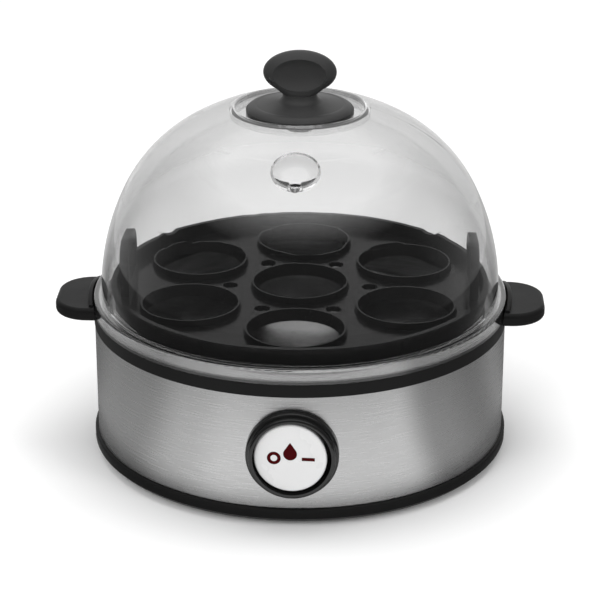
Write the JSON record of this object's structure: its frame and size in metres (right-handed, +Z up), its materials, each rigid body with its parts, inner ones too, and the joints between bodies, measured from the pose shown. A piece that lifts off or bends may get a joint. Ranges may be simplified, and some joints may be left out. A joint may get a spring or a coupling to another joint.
{
  "type": "egg cooker",
  "caption": "Round steam egg cooker: clear domed lid with a pinch knob, lift-out egg tray, heated water dish, steel-sleeved base with side handles and a front rocker switch.",
  "frame": {"origin": "on the table under the middle of the feet, on the axis of the round body", "axes": "+Z up along the body's axis, -Y towards the switch, +X to the right as seen from the switch"},
  "size_m": [0.19, 0.1704, 0.1578],
  "materials": {
    "clear_plastic": "clear polished mouldings",
    "black_plastic": "satin black moulding",
    "tray_plastic": "gloss black moulding",
    "brushed_steel": "fine brushing round the body",
    "dish_steel": "deep-drawn satin",
    "white_plastic": "white moulding",
    "mark_red": "dark translucent inlay",
    "black_rubber": "matte",
    "silicone": "translucent white",
    "aluminium": "plain sheet",
    "plated_steel": "bright zinc",
    "element_sheath": "oxidised tube",
    "brass": "tin-plated strip",
    "moulded_phenolic": "brown-black moulding",
    "fuse_case": "metal case",
    "lamp_glass": "clear glass",
    "brown_sheath": "silicone sheath",
    "blue_sheath": "silicone sheath",
    "earth_sheath": "silicone sheath"
  },
  "bodies": {
    "base": {"rim_ring": "black_plastic", "body_sleeve": "brushed_steel", "base_pan": "black_plastic", "rubber_feet": "black_rubber", "base_screws": "plated_steel", "cord_gland": "black_rubber", "heating_dish": "dish_steel", "dish_gasket": "silicone", "dish_studs": "plated_steel", "stud_nuts": "plated_steel", "spreader_plate": "aluminium", "heating_element": "element_sheath", "element_pins": "brass", "thermostat": "moulded_phenolic", "thermostat_bracket": "plated_steel", "thermostat_screws": "plated_steel", "thermal_fuse": "fuse_case", "fuse_clip": "plated_steel", "terminal_block": "moulded_phenolic", "terminal_screws": "plated_steel", "earth_tag": "plated_steel", "live_wire": "brown_sheath", "switched_wire": "brown_sheath", "heater_leads": "brown_sheath", "neutral_wires": "blue_sheath", "earth_wire": "earth_sheath", "switch_bezel": "black_plastic", "switch_housing": "moulded_phenolic", "switch_tabs": "brass", "indicator_lamp": "lamp_glass"},
    "tray": {"egg_tray": "tray_plastic"},
    "lid": {"lid_dome": "clear_plastic", "lid_knob": "black_plastic", "knob_washer": "plated_steel", "knob_screw": "plated_steel"},
    "rocker": {"rocker_button": "white_plastic", "rocker_symbols": "mark_red", "rocker_pin": "plated_steel"}
  },
  "joints": [
    {"name": "tray_lift", "type": "slide", "parent": "base", "child": "tray", "axis": [0, 0, 1], "range_m": [0, 0.09]},
    {"name": "lid_lift", "type": "slide", "parent": "tray", "child": "lid", "axis": [0, 0, 1], "range_m": [0, 0.13]},
    {"name": "rocker_tilt", "type": "hinge", "parent": "base", "child": "rocker", "pos_m": [0, -0.075, 0.0295], "axis": [0, 0, 1], "range_deg": [0, 8]}
  ]
}
